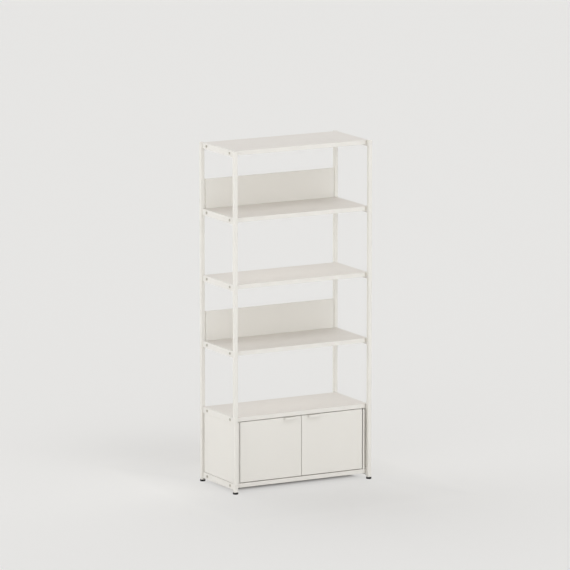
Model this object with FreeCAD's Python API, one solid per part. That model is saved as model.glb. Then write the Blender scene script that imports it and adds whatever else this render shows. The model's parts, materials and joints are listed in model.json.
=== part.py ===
import FreeCAD, Part
import math
import os

# Bookcase of folded and tubular steel with a two-door cabinet at its foot.
# Millimetres, +Z up, the front faces -Y, the origin is on the floor under the centre of the footprint.

# Overall
overall_width = 800.0
overall_depth = 380.0
overall_height = 1770.0
level_count = 6

# Posts, their caps and their feet
post_size = 20.0
post_wall = 1.5
post_corner_radius = 2.5
post_stub = 8.0
cap_thickness = 2.0
cap_plug_depth = 14.0
foot_diameter = 28.0
foot_height = 10.0
foot_edge = 1.5
foot_plug_depth = 18.0
plug_clearance = 0.1

# Side rails between the posts
rail_width = 12.0
rail_height = 32.0
rail_wall = 1.5
rail_edge_radius = 1.0

# Decks: folded trays bolted between the side rails
deck_sheet = 1.5
deck_post_gap = 2.0
deck_lip = 22.0
deck_hem = 30.0
deck_end_flange = 30.0
deck_corner_turn = 8.5
deck_edge_radius = 1.0

# Rail bolts and their nuts
bolt_end_inset = 34.5
bolt_drop = 15.0
bolt_diameter = 6.0
bolt_head_diameter = 14.0
bolt_head_height = 3.2
bolt_head_edge = 1.2
bolt_socket = 4.0
bolt_socket_depth = 2.0
bolt_tail = 1.0
nut_across = 10.0
nut_height = 5.0

# Low back panels behind two of the decks
back_sheet = 1.5
back_depth = 14.0
back_hem = 8.0
back_rise = 152.0
back_side_gap = 6.0
back_edge_radius = 1.0
back_levels = (4, 2)
back_screw_count = 3
back_screw_end_share = 0.16

# Cabinet sides and back
cabinet_level = 1
side_gap = 10.0
side_reach = 11.0
side_setback = 18.0
side_rear_setback = 10.0
side_rail_gap = 0.5
side_sill_gap = 2.0
side_nut_gap = 0.25
side_sheet = 1.5
side_overhang = 19.0
side_head_gap = 3.0
tongue_gap = 3.0
cabinet_back_drop = 3.0
cabinet_screw_inset = 60.0
rivet_count = 3
rivet_end_share = 0.2
rivet_head_diameter = 7.0
rivet_head_height = 1.2

# Doors
door_sheet = 1.5
door_depth = 15.0
door_hem = 10.0
door_edge_radius = 1.0
door_side_gap = 4.0
door_middle_gap = 3.0
door_top_gap = 3.5
door_bottom_gap = 4.0

# Door pivots
pivot_edge = 8.0
pivot_setback = 7.0
pin_diameter = 6.0
pin_tail = 3.0
pin_collar_diameter = 10.0
pivot_block_height = 12.0
bush_wall = 1.0
bush_flange_width = 1.5
bush_flange = 1.0
bush_tail = 2.0
running_clearance = 0.05
body_clearance = 0.3

# Handles: short channels along the top edge of each door
handle_width = 66.0
handle_depth = 14.0
handle_height = 18.0
handle_lip = 13.0
handle_sheet = 2.0
handle_offset = 70.5
handle_edge_radius = 1.0
handle_screw_spacing = 40.0

# Catches behind the doors' meeting edges
catch_width = 40.0
catch_depth = 12.0
catch_height = 14.0
catch_offset = 32.0
catch_screw_inset = 7.0
catch_edge_radius = 0.8
catch_magnet_inset = 10.0
catch_magnet_height = 7.0
catch_magnet_depth = 5.0

# Small screws
screw_diameter = 4.0
screw_head_diameter = 7.5
screw_head_height = 2.2
screw_tail = 4.0
small_nut_across = 7.0
small_nut_height = 3.2

# Fits, cuts and the part of a wall that a rounded edge may take
seat_clearance = 0.05
hole_clearance = 0.3
overrun = 1.0
edge_limit_share = 0.66
match_share = 0.1

# Derived places
half_width = overall_width / 2
half_depth = overall_depth / 2
inner_x = half_width - post_size
base_level = foot_height + post_stub + rail_height
level_pitch = (overall_height - base_level) / (level_count - 1)
deck_y = half_depth - post_size - deck_post_gap
rail_outer_x = inner_x + rail_width
side_depth = side_sheet + small_nut_across + 2 * side_nut_gap
lip_end_x = inner_x - deck_corner_turn
flange_y = deck_y - deck_corner_turn
bolt_places_y = (bolt_end_inset - flange_y, flange_y - bolt_end_inset)
cabinet_top = base_level + cabinet_level * level_pitch
lip_underside = cabinet_top - deck_lip
side_face_x = inner_x - side_gap
side_inner_x = side_face_x - side_depth
side_skin_x = inner_x + side_reach
side_step_y = -deck_y + side_setback
side_rear_y = deck_y - side_rear_setback
side_roof = cabinet_top - rail_height - side_rail_gap
side_sill = base_level + side_sill_gap
door_outer_x = side_inner_x - door_side_gap
door_inner_x = door_middle_gap / 2
door_base = base_level + door_bottom_gap
door_top = lip_underside - door_top_gap
pivot_x = door_outer_x - pivot_edge
pivot_y = -deck_y + pivot_setback
pin_radius = pin_diameter / 2
bush_bore = pin_radius + running_clearance
bush_radius = bush_bore + bush_wall
back_end_x = inner_x - back_side_gap
cabinet_back_x = side_face_x - side_sheet
side_screw_x = side_face_x - side_sheet - side_nut_gap - small_nut_across / 2
side_screw_places_y = (-deck_y + cabinet_screw_inset, deck_y - cabinet_screw_inset)
tongue_half = deck_y - deck_hem - tongue_gap
screw_radius = screw_diameter / 2
x_axis = FreeCAD.Vector(1, 0, 0)
y_axis = FreeCAD.Vector(0, 1, 0)
z_axis = FreeCAD.Vector(0, 0, 1)
sides = {"left": -1, "right": 1}
ends = {"front": -1, "rear": 1}


def level_z(level):
    """Height of a deck's top face, level 0 being the base of the cabinet."""
    return base_level + level * level_pitch


def block(x, y, z):
    """Box between two places on each axis."""
    (x0, x1), (y0, y1), (z0, z1) = sorted(x), sorted(y), sorted(z)
    return Part.makeBox(x1 - x0, y1 - y0, z1 - z0, FreeCAD.Vector(x0, y0, z0))


def rod(radius, start, direction, length):
    """Cylinder from a start point along a direction."""
    return Part.makeCylinder(radius, length, FreeCAD.Vector(*start), direction)


def hexagon(across, start, direction, length):
    """Hexagonal prism from a start point along a direction."""
    radius = across / math.sqrt(3)
    turns = [math.tau * (2 * k + 1) / 12 for k in range(7)]
    points = [FreeCAD.Vector(radius * math.cos(t), radius * math.sin(t), 0) for t in turns]
    prism = Part.Face(Part.makePolygon(points)).extrude(z_axis * length)
    prism.Placement = FreeCAD.Placement(FreeCAD.Vector(*start), FreeCAD.Rotation(z_axis, direction))
    return prism


def polygon_prism(points, z0, z1):
    """Upright prism on a closed outline."""
    outline = [FreeCAD.Vector(x, y, z0) for x, y in points]
    return Part.Face(Part.makePolygon(outline + outline[:1])).extrude(z_axis * (z1 - z0))


def joined(pieces):
    """One solid from touching or overlapping pieces."""
    return pieces[0].fuse(pieces[1:]).removeSplitter()


def edges_along(solid, axis, test):
    """Straight edges parallel to an axis whose middle passes a test."""
    found = []
    for edge in solid.Edges:
        along = edge.valueAt(edge.LastParameter) - edge.valueAt(edge.FirstParameter)
        if along.Length > 0 and near(abs(along.dot(axis)), along.Length) and test(edge.CenterOfMass):
            found.append(edge)
    return found


def crown_rim(head, crown_x):
    """Outer rim of a round head that lies along X."""
    flat = [edge for edge in head.Edges if near(edge.BoundBox.XLength, 0)]
    return [edge for edge in flat if near(abs(edge.BoundBox.XMin), crown_x)]


def near(a, b):
    """True where two places agree to far less than any clearance."""
    return abs(a - b) < seat_clearance * match_share


def screw(place, direction, reach, head=screw_head_diameter):
    """Pan-head screw seated at a place; its shank runs along the direction and its head stands behind."""
    shank = rod(screw_radius, place, direction, reach)
    return joined([shank, rod(head / 2, place, direction * -1, screw_head_height)])


def folded_pan(x, y, z, sheet, hem, radius):
    """Pan of folded sheet: its face looks along -Y, its flanges turn back and end in hems."""
    (x0, x1), (y0, y1), (z0, z1) = sorted(x), sorted(y), sorted(z)
    shell = block(x, y, z)
    front = [edge for axis in (x_axis, z_axis) for edge in edges_along(shell, axis, lambda m: near(m.y, y0))]
    shell = shell.makeFillet(min(radius, sheet * edge_limit_share), front)
    cavity = block((x0 + sheet, x1 - sheet), (y0 + sheet, y1 - sheet), (z0 + sheet, z1 - sheet))
    mouth = block((x0 + hem, x1 - hem), (y0 + sheet, y1 + overrun), (z0 + hem, z1 - hem))
    return shell.cut([cavity, mouth])


def make_post(side, end):
    """Square tube with rounded edges, standing on its foot."""
    x0, y0 = sides[side] * half_width, ends[end] * half_depth
    x1, y1 = sides[side] * inner_x, ends[end] * (half_depth - post_size)
    bottom, top = foot_height, overall_height - cap_thickness
    tube = block((x0, x1), (y0, y1), (bottom, top))
    tube = tube.makeFillet(post_corner_radius, edges_along(tube, z_axis, lambda m: True))
    wall_x, wall_y = sides[side] * post_wall, ends[end] * post_wall
    bore_x, bore_y = (x0 - wall_x, x1 + wall_x), (y0 - wall_y, y1 + wall_y)
    return tube.cut(block(bore_x, bore_y, (bottom - overrun, top + overrun)))


def post_centre(side, end):
    """Middle of a post in plan."""
    return sides[side] * (half_width - post_size / 2), ends[end] * (half_depth - post_size / 2)


def bore_plug(side, end, z0, z1):
    """Square plug that fits the bore of a post."""
    x, y = post_centre(side, end)
    half = post_size / 2 - post_wall - plug_clearance
    return block((x - half, x + half), (y - half, y + half), (z0, z1))


def make_cap(side, end):
    """Flush end cap on top of a post, with its plug."""
    x, y = post_centre(side, end)
    half = post_size / 2
    seat = overall_height - cap_thickness
    plate = block((x - half, x + half), (y - half, y + half), (seat, overall_height))
    plate = plate.makeFillet(post_corner_radius, edges_along(plate, z_axis, lambda m: True))
    rim = [edge for edge in plate.Edges if near(edge.BoundBox.ZMin, overall_height)]
    plate = plate.makeFillet(cap_thickness / 3, rim)
    return joined([plate, bore_plug(side, end, seat - cap_plug_depth, seat)])


def make_foot(side, end):
    """Round glide under a post, with its plug."""
    x, y = post_centre(side, end)
    disc = rod(foot_diameter / 2, (x, y, 0), z_axis, foot_height)
    rims = [edge for edge in disc.Edges if near(edge.BoundBox.ZLength, 0)]
    disc = disc.makeFillet(min(foot_edge, foot_height / 3), rims)
    return joined([disc, bore_plug(side, end, foot_height, foot_height + foot_plug_depth)])


def bolt_hole(side, y, level):
    """Clearance hole for a rail bolt, through the rail and the deck's end flange."""
    z = level_z(level) - bolt_drop
    radius = bolt_diameter / 2 + hole_clearance
    start = (sides[side] * (inner_x - deck_sheet - overrun), y, z)
    return rod(radius, start, x_axis * sides[side], rail_width + deck_sheet + 2 * overrun)


def make_rail(side, level):
    """Flat rectangular tube between the two posts of one side."""
    s, top = sides[side], level_z(level)
    y1 = half_depth - post_size
    tube = block((s * inner_x, s * rail_outer_x), (-y1, y1), (top - rail_height, top))
    tube = tube.makeFillet(rail_edge_radius, edges_along(tube, y_axis, lambda m: True))
    bore = block((s * (inner_x + rail_wall), s * (rail_outer_x - rail_wall)), (-y1 - overrun, y1 + overrun),
                 (top - rail_height + rail_wall, top - rail_wall))
    return tube.cut([bore] + [bolt_hole(side, y, level) for y in bolt_places_y])


def make_bolt(side, y, level):
    """Button-head bolt through a rail into its nut."""
    s, z = sides[side], level_z(level) - bolt_drop
    reach = rail_width + deck_sheet + nut_height + bolt_tail
    head = rod(bolt_head_diameter / 2, (s * rail_outer_x, y, z), x_axis * s, bolt_head_height)
    crown_x = rail_outer_x + bolt_head_height
    head = head.makeFillet(min(bolt_head_edge, bolt_head_height * edge_limit_share), crown_rim(head, crown_x))
    socket = hexagon(bolt_socket, (s * crown_x, y, z), x_axis * -s, bolt_socket_depth)
    shank = rod(bolt_diameter / 2, (s * rail_outer_x, y, z), x_axis * -s, reach)
    return joined([head.cut(socket), shank])


def make_nut(side, y, level):
    """Nut behind a deck's end flange."""
    s, z = sides[side], level_z(level) - bolt_drop
    seat = (s * (inner_x - deck_sheet), y, z)
    body = hexagon(nut_across, seat, x_axis * -s, nut_height)
    return body.cut(rod(bolt_diameter / 2 + seat_clearance, seat, x_axis * -s, nut_height))


def deck_outline(inset):
    """Plan outline of a deck's skirt: straight sides with the corners turned in past the posts."""
    x1, y1 = inner_x - inset, deck_y - inset
    turn = deck_corner_turn - inset * (2 - math.sqrt(2))
    x0, y0 = x1 - turn, y1 - turn
    quarter = [(x1, y0), (x0, y1)]
    second = [(-x, y) for x, y in reversed(quarter)]
    return quarter + second + [(-x, -y) for x, y in quarter + second]


def pivot_hole(side, z):
    """Seat of a pivot bush through a sheet of a deck."""
    radius = bush_radius + seat_clearance
    return rod(radius, (sides[side] * pivot_x, pivot_y, z - overrun), z_axis, deck_sheet + 2 * overrun)


def back_screw_places(half_length):
    """Places along X of the screws in a back panel."""
    reach = half_length * (1 - 2 * back_screw_end_share)
    return [reach * (2 * k / (back_screw_count - 1) - 1) for k in range(back_screw_count)]


def deck_holes(level):
    """Every hole of one deck."""
    top = level_z(level)
    holes = [bolt_hole(side, y, level) for side in sides for y in bolt_places_y]
    backed = {lev: back_end_x for lev in back_levels}
    backed.update({0: cabinet_back_x, cabinet_level: cabinet_back_x})
    if level in backed:
        for x in back_screw_places(backed[level]):
            start = (x, deck_y + overrun, top - deck_lip / 2)
            holes.append(rod(screw_radius + seat_clearance, start, y_axis * -1, deck_sheet + 2 * overrun))
    if level == 0:
        holes += [pivot_hole(side, top - deck_sheet) for side in sides]
        for side in sides:
            for y in side_screw_places_y:
                start = (sides[side] * side_screw_x, y, top - deck_sheet - overrun)
                holes.append(rod(screw_radius + hole_clearance, start, z_axis, deck_sheet + 2 * overrun))
    if level == cabinet_level:
        holes += [pivot_hole(side, top - deck_lip) for side in sides]
        for side in sides:
            for x in catch_screw_places(side):
                start = (x, catch_centre_y(), top - deck_lip - overrun)
                holes.append(rod(screw_radius + seat_clearance, start, z_axis, deck_sheet + 2 * overrun))
    return holes


def make_deck(level):
    """Tray of folded sheet with hemmed lips in front and behind and a taller flange at each end."""
    top = level_z(level)
    skirt = polygon_prism(deck_outline(0), top - deck_lip, top)
    hollow = polygon_prism(deck_outline(deck_sheet), top - deck_lip - overrun, top - deck_sheet)
    pieces = [skirt.cut(hollow), block((-inner_x, inner_x), (-deck_y, deck_y), (top - deck_sheet, top))]
    for s in ends.values():
        pieces.append(block((-lip_end_x, lip_end_x), (s * deck_y, s * (deck_y - deck_hem)),
                            (top - deck_lip, top - deck_lip + deck_sheet)))
    for s in sides.values():
        pieces.append(block((s * inner_x, s * (inner_x - deck_sheet)), (-flange_y, flange_y),
                            (top - deck_end_flange, top)))
    tray = joined(pieces)
    rim = edges_along(tray, x_axis, lambda m: near(abs(m.y), deck_y) and near(m.z, top))
    foot = edges_along(tray, x_axis, lambda m: near(abs(m.y), deck_y) and near(m.z, top - deck_lip))
    tray = tray.makeFillet(min(deck_edge_radius, deck_sheet * edge_limit_share), rim + foot)
    return tray.cut(deck_holes(level))


def make_back_panel(level):
    """Low back panel, screwed to the rear lip of its deck."""
    z0, z1 = level_z(level) - deck_lip, level_z(level) + back_rise
    pan = folded_pan((-back_end_x, back_end_x), (deck_y, deck_y + back_depth), (z0, z1),
                     back_sheet, back_hem, back_edge_radius)
    return pan.cut([back_screw_hole(x, level) for x in back_screw_places(back_end_x)])


def back_screw_hole(x, level):
    """Hole through a back panel's face for one screw into the deck's rear lip."""
    start = (x, deck_y - overrun, level_z(level) - deck_lip / 2)
    return rod(screw_radius + seat_clearance, start, y_axis, back_sheet + 2 * overrun)


def make_back_screws():
    """Screws that hold the back panels and the cabinet's back to the decks."""
    rows = [(level, back_end_x) for level in back_levels]
    rows += [(level, cabinet_back_x) for level in (0, cabinet_level)]
    reach = back_sheet + deck_sheet + screw_tail
    return [screw((x, deck_y + back_sheet, level_z(level) - deck_lip / 2), y_axis * -1, reach)
            for level, half_length in rows for x in back_screw_places(half_length)]


def make_cabinet_back():
    """Back of the cabinet, between its sides and against the rear lips of both decks."""
    z0, z1 = base_level - deck_lip, cabinet_top - cabinet_back_drop
    pan = folded_pan((-cabinet_back_x, cabinet_back_x), (deck_y, deck_y + back_depth), (z0, z1),
                     back_sheet, back_hem, back_edge_radius)
    places = back_screw_places(cabinet_back_x)
    holes = [back_screw_hole(x, level) for level in (0, cabinet_level) for x in places]
    return pan.cut(holes + [rivet_hole(side, z) for side in sides for z in rivet_places()])


def rivet_places():
    """Heights of the rivets that join the cabinet's back to its sides."""
    low, high = base_level, lip_underside - side_head_gap
    inset = (high - low) * rivet_end_share
    step = (high - low - 2 * inset) / (rivet_count - 1)
    return [low + inset + k * step for k in range(rivet_count)]


def rivet_hole(side, z):
    """Rivet hole through a cabinet side and the flange of the back."""
    s, thick = sides[side], side_sheet + back_sheet
    start = (s * (side_face_x - thick - overrun), deck_y + back_depth / 2, z)
    return rod(screw_radius + seat_clearance, start, x_axis * s, thick + 2 * overrun)


def make_rivet(side, z):
    """Domed rivet with its head outside and its tail inside the back's flange."""
    s, y = sides[side], deck_y + back_depth / 2
    thick = side_sheet + back_sheet
    shank = rod(screw_radius, (s * side_face_x, y, z), x_axis * -s, thick + rivet_head_height)
    head = rod(rivet_head_diameter / 2, (s * side_face_x, y, z), x_axis * s, rivet_head_height)
    crown_x = side_face_x + rivet_head_height
    head = head.makeFillet(rivet_head_height * edge_limit_share, crown_rim(head, crown_x))
    tail = rod(rivet_head_diameter / 2, (s * (side_face_x - thick), y, z), x_axis * -s, rivet_head_height)
    return joined([shank, head, tail])


def make_cabinet_side(side):
    """Side of the cabinet: a skin flush with the rails, stepped in at both ends, and a tongue above."""
    s = sides[side]
    skin, skin_back = s * side_skin_x, s * (side_skin_x - side_sheet)
    face, inner, back = s * side_face_x, s * side_inner_x, s * (side_face_x - side_sheet)
    rear, head, under = deck_y + side_overhang, lip_underside - side_head_gap, cabinet_top - deck_sheet
    step_back, floor_top, sill_top = side_step_y + side_sheet, base_level + side_sheet, side_sill + side_sheet
    riser, riser_back = s * (inner_x - side_rail_gap), s * (inner_x - side_rail_gap - side_sheet)
    rear_front = side_rear_y - side_sheet
    pieces = [
        block((skin, skin_back), (-deck_y, side_rear_y), (side_sill, side_roof)),
        block((skin, back), (side_step_y, step_back), (side_sill, side_roof)),
        block((skin, back), (rear_front, side_rear_y), (side_sill, side_roof)),
        block((skin, back), (side_step_y, side_rear_y), (side_roof - side_sheet, side_roof)),
        block((skin, riser_back), (side_step_y, side_rear_y), (side_sill, sill_top)),
        block((riser, riser_back), (side_step_y, side_rear_y), (base_level, sill_top)),
        block((riser, inner), (side_step_y, side_rear_y), (base_level, floor_top)),
        block((face, back), (-deck_y, step_back), (base_level, head)),
        block((face, back), (rear_front, rear), (base_level, head)),
        block((face, back), (-tongue_half, tongue_half), (side_roof - side_sheet, under)),
        block((face, inner), (-deck_y, -deck_y + side_sheet), (base_level, head)),
        block((face, inner), (-deck_y, step_back), (base_level, floor_top)),
        block((face, inner), (-tongue_half, tongue_half), (under - side_sheet, under)),
    ]
    holes = [rivet_hole(side, z) for z in rivet_places()]
    for y in side_screw_places_y:
        for z in (base_level, under - side_sheet):
            start = (s * side_screw_x, y, z - overrun)
            holes.append(rod(screw_radius + hole_clearance, start, z_axis, side_sheet + 2 * overrun))
    return joined(pieces).cut(holes)


def make_side_screws():
    """Screws through the lower flanges of the cabinet's sides into nuts under the base."""
    reach = side_sheet + deck_sheet + small_nut_height + bolt_tail
    return [screw((sides[side] * side_screw_x, y, base_level + side_sheet), z_axis * -1, reach,
                  head=small_nut_across) for side in sides for y in side_screw_places_y]


def make_side_studs():
    """Welded studs under the cabinet's top deck that carry the upper flanges of its sides."""
    under = cabinet_top - deck_sheet
    reach = side_sheet + small_nut_height + bolt_tail
    return [rod(screw_radius, (sides[side] * side_screw_x, y, under), z_axis * -1, reach)
            for side in sides for y in side_screw_places_y]


def make_side_nuts():
    """Nuts on the screws and studs of the cabinet's sides."""
    nuts = []
    for side in sides:
        for y in side_screw_places_y:
            for z in (base_level - deck_sheet, cabinet_top - deck_sheet - side_sheet):
                start = (sides[side] * side_screw_x, y, z)
                body = hexagon(small_nut_across, start, z_axis * -1, small_nut_height)
                bore = rod(screw_radius + seat_clearance, start, z_axis * -1, small_nut_height)
                nuts.append(body.cut(bore))
    return nuts


def pivot_pin_hole(side, z0, z1):
    """Seat of a pivot pin in a door."""
    start = (sides[side] * pivot_x, pivot_y, z0 - overrun)
    return rod(pin_radius + seat_clearance, start, z_axis, z1 - z0 + 2 * overrun)


def handle_screw_places(side):
    """Places along X of a handle's two screws."""
    centre = sides[side] * handle_offset
    return centre - handle_screw_spacing / 2, centre + handle_screw_spacing / 2


def handle_screw_z():
    """Height of the handle screws, in the middle of the handle's back leg."""
    return door_top - handle_sheet - (handle_height - handle_sheet) / 2


def handle_screw_hole(x):
    """Hole for a handle screw through the door's face and the handle's back leg."""
    start = (x, -deck_y - handle_sheet - overrun, handle_screw_z())
    return rod(screw_radius + seat_clearance, start, y_axis, handle_sheet + door_sheet + 2 * overrun)


def make_door(side):
    """Door of folded sheet that swings on pins near its outer edge."""
    s = sides[side]
    pan = folded_pan((s * door_inner_x, s * door_outer_x), (-deck_y, -deck_y + door_depth),
                     (door_base, door_top), door_sheet, door_hem, door_edge_radius)
    holes = [pivot_pin_hole(side, door_base, door_base + door_sheet),
             pivot_pin_hole(side, door_top - door_sheet, door_top)]
    return pan.cut(holes + [handle_screw_hole(x) for x in handle_screw_places(side)])


def make_pivot_blocks(side):
    """Blocks inside the door's corners that hold its pins."""
    x, half_x = sides[side] * pivot_x, pivot_edge - door_sheet
    y = (-deck_y + door_sheet, -deck_y + door_depth - door_sheet)
    blocks = []
    for z0 in (door_base + door_sheet, door_top - door_sheet - pivot_block_height):
        z1 = z0 + pivot_block_height
        body = block((x - half_x, x + half_x), y, (z0, z1))
        blocks.append(body.cut(pivot_pin_hole(side, z0, z1)))
    return blocks


def make_pins(side):
    """Pivot pins of one door; a collar on the lower one carries the door."""
    x = sides[side] * pivot_x
    low, high = base_level - deck_sheet - pin_tail, door_base + door_sheet + pivot_block_height
    lower = rod(pin_radius, (x, pivot_y, low), z_axis, high - low)
    seat = base_level + bush_flange + body_clearance
    collar = rod(pin_collar_diameter / 2, (x, pivot_y, seat), z_axis, door_base - seat)
    low = door_top - door_sheet - pivot_block_height
    upper = rod(pin_radius, (x, pivot_y, low), z_axis, lip_underside + deck_sheet + pin_tail - low)
    return [joined([lower, collar]), upper]


def make_bushes():
    """Flanged bushes of the door pivots, in the base and in the lip above."""
    bushes = []
    for s in sides.values():
        for seat, way in ((base_level, -1), (lip_underside, 1)):
            place = (s * pivot_x, pivot_y, seat)
            flange = rod(bush_radius + bush_flange_width, place, z_axis * -way, bush_flange)
            body = rod(bush_radius, place, z_axis * way, deck_sheet + bush_tail)
            start = (s * pivot_x, pivot_y, seat - way * (bush_flange + overrun))
            length = bush_flange + deck_sheet + bush_tail + 2 * overrun
            bushes.append(joined([flange, body]).cut(rod(bush_bore, start, z_axis * way, length)))
    return bushes


def make_handle(side):
    """Short inverted channel, its back leg on the door's face and its shorter front leg hanging free."""
    centre = sides[side] * handle_offset
    x = (centre - handle_width / 2, centre + handle_width / 2)
    front = -deck_y - handle_depth
    body = block(x, (-deck_y, front), (door_top - handle_height, door_top))
    bends = edges_along(body, x_axis, lambda m: near(m.y, front))
    body = body.makeFillet(min(handle_edge_radius, handle_sheet * edge_limit_share), bends)
    pocket = block((x[0] - overrun, x[1] + overrun), (-deck_y - handle_sheet, front + handle_sheet),
                   (door_top - handle_height - overrun, door_top - handle_sheet))
    trim = block((x[0] - overrun, x[1] + overrun), (front - overrun, front + handle_sheet),
                 (door_top - handle_height - overrun, door_top - handle_lip))
    return body.cut([pocket, trim] + [handle_screw_hole(x) for x in handle_screw_places(side)])


def make_handle_screws(side):
    """Screws from inside the door into its handle."""
    return [screw((x, -deck_y + door_sheet, handle_screw_z()), y_axis * -1, door_sheet + handle_sheet)
            for x in handle_screw_places(side)]


def catch_centre_y():
    """Middle of the catches, just behind the closed doors."""
    return -deck_y + door_depth + body_clearance + catch_depth / 2


def catch_screw_places(side):
    """Places along X of a catch's two screws."""
    centre, reach = sides[side] * catch_offset, catch_width / 2 - catch_screw_inset
    return centre - reach, centre + reach


def catch_magnet_box(side, clearance):
    """Box of the magnet let into a catch's front face."""
    centre, half = sides[side] * catch_offset, catch_width / 2 - catch_magnet_inset - clearance
    front = catch_centre_y() - catch_depth / 2
    middle = lip_underside - catch_height / 2
    rise = catch_magnet_height / 2 - clearance
    return block((centre - half, centre + half), (front, front + catch_magnet_depth - clearance),
                 (middle - rise, middle + rise))


def make_catch(side):
    """Housing of a magnetic catch, hung from the lip's hem behind the door."""
    centre, y = sides[side] * catch_offset, catch_centre_y()
    x = (centre - catch_width / 2, centre + catch_width / 2)
    base = lip_underside - catch_height
    body = block(x, (y - catch_depth / 2, y + catch_depth / 2), (base, lip_underside))
    body = body.makeFillet(catch_edge_radius, edges_along(body, z_axis, lambda m: True))
    cuts = [catch_magnet_box(side, 0)]
    for sx in catch_screw_places(side):
        start = (sx, y, base - overrun)
        cuts.append(rod(screw_radius + hole_clearance, start, z_axis, catch_height + 2 * overrun))
        cuts.append(rod(screw_head_diameter / 2 + hole_clearance, start, z_axis, screw_head_height + overrun))
    return body.cut(cuts)


def make_catch_screws():
    """Screws that hold the catches to the hem above them."""
    seat = lip_underside - catch_height + screw_head_height
    reach = catch_height - screw_head_height + deck_sheet + bolt_tail
    places = [x for side in sides for x in catch_screw_places(side)]
    return [screw((x, catch_centre_y(), seat), z_axis, reach) for x in places]


def build_nodes():
    """Every node of the bookcase by name."""
    levels = range(level_count)
    nodes = {}
    for side in sides:
        for end in ends:
            nodes[f"post_{end}_{side}"] = make_post(side, end)
            nodes[f"foot_{end}_{side}"] = make_foot(side, end)
        for level in levels:
            nodes[f"rail_{side}_{level}"] = make_rail(side, level)
        places = [(y, level) for level in levels for y in bolt_places_y]
        nodes[f"rail_bolts_{side}"] = Part.makeCompound([make_bolt(side, *place) for place in places])
        nodes[f"rail_nuts_{side}"] = Part.makeCompound([make_nut(side, *place) for place in places])
        nodes[f"cabinet_side_{side}"] = make_cabinet_side(side)
        nodes[f"door_{side}"] = make_door(side)
        nodes[f"pivot_blocks_{side}"] = Part.makeCompound(make_pivot_blocks(side))
        nodes[f"pivot_pins_{side}"] = Part.makeCompound(make_pins(side))
        nodes[f"handle_{side}"] = make_handle(side)
        nodes[f"handle_screws_{side}"] = Part.makeCompound(make_handle_screws(side))
        nodes[f"catch_{side}"] = make_catch(side)
        nodes[f"catch_magnet_{side}"] = catch_magnet_box(side, seat_clearance)
    nodes["post_caps"] = Part.makeCompound([make_cap(side, end) for side in sides for end in ends])
    for level in levels:
        nodes[f"deck_{level}"] = make_deck(level)
    for level in back_levels:
        nodes[f"back_panel_{level}"] = make_back_panel(level)
    nodes["back_screws"] = Part.makeCompound(make_back_screws())
    nodes["cabinet_back"] = make_cabinet_back()
    rivets = [make_rivet(side, z) for side in sides for z in rivet_places()]
    nodes["cabinet_rivets"] = Part.makeCompound(rivets)
    nodes["side_screws"] = Part.makeCompound(make_side_screws())
    nodes["side_studs"] = Part.makeCompound(make_side_studs())
    nodes["side_nuts"] = Part.makeCompound(make_side_nuts())
    nodes["pivot_bushes"] = Part.makeCompound(make_bushes())
    nodes["catch_screws"] = Part.makeCompound(make_catch_screws())
    return nodes


os.makedirs("parts", exist_ok=True)
for name, shape in build_nodes().items():
    shape.exportStep(f"parts/{name}.step")
    print(name, len(shape.Solids), shape.isValid(), round(shape.Volume))
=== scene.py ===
"""Looks of a bookcase with cabinet doors, dressed on its packed steel model.

The steelwork keeps its modelled shapes and gets its powder coat, zinc and plastics here. The
fasteners that show are made again with their drives and threads, and set on their seats by one
Geometry Nodes tree. Metres, +Z up, the front faces -Y.
"""

from __future__ import annotations

import json
import logging
import math
from dataclasses import dataclass, replace
from enum import Enum

import bmesh
import bpy
from mathutils import Euler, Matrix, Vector


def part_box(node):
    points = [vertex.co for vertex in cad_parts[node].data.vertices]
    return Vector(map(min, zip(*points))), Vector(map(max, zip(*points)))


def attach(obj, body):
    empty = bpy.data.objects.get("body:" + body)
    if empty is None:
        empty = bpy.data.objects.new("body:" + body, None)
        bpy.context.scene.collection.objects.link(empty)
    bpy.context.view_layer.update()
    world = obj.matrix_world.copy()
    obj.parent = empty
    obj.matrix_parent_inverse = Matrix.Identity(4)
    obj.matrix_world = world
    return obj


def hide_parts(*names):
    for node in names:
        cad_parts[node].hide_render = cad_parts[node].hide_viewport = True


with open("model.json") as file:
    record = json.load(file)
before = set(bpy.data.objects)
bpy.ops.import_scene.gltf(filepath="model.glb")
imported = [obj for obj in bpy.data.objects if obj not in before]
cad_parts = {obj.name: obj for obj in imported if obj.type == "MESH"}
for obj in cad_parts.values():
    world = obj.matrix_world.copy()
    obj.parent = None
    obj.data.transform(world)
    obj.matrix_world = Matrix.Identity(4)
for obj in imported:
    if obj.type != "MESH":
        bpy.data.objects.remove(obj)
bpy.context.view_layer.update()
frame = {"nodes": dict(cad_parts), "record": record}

LOG = logging.getLogger("bookcase")
LEVELS = 6
FRAME_BODY = "frame"
STEEL_SLOT = "fastener_steel"

Socket = bpy.types.NodeSocket
Work = bmesh.types.BMesh
Ring = list[bmesh.types.BMVert]


class Side(Enum):
    """The two sides of the bookcase, with the sign of X on each."""

    LEFT = ("left", -1.0)
    RIGHT = ("right", 1.0)

    @property
    def word(self) -> str:
        """Name of the side as the nodes use it."""
        return self.value[0]

    @property
    def sign(self) -> float:
        """Sign of X on this side."""
        return self.value[1]


class Facing(Enum):
    """Way in which a fastener's head looks."""

    LEFT = (-1.0, 0.0, 0.0)
    RIGHT = (1.0, 0.0, 0.0)
    REAR = (0.0, 1.0, 0.0)
    UP = (0.0, 0.0, 1.0)


class Drive(Enum):
    """What is let into the crown of a fastener."""

    HEX_SOCKET = "hex socket"
    CROSS_RECESS = "cross recess"
    RIVET_HOLE = "rivet hole"


class TurnSeed(Enum):
    """Seed of the turn at which each fastener of a set stops."""

    RAIL_BOLTS = 3
    BACK_SCREWS = 5
    RIVETS = 7
    SIDE_SCREWS = 11
    HANDLE_SCREWS = 13


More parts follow.
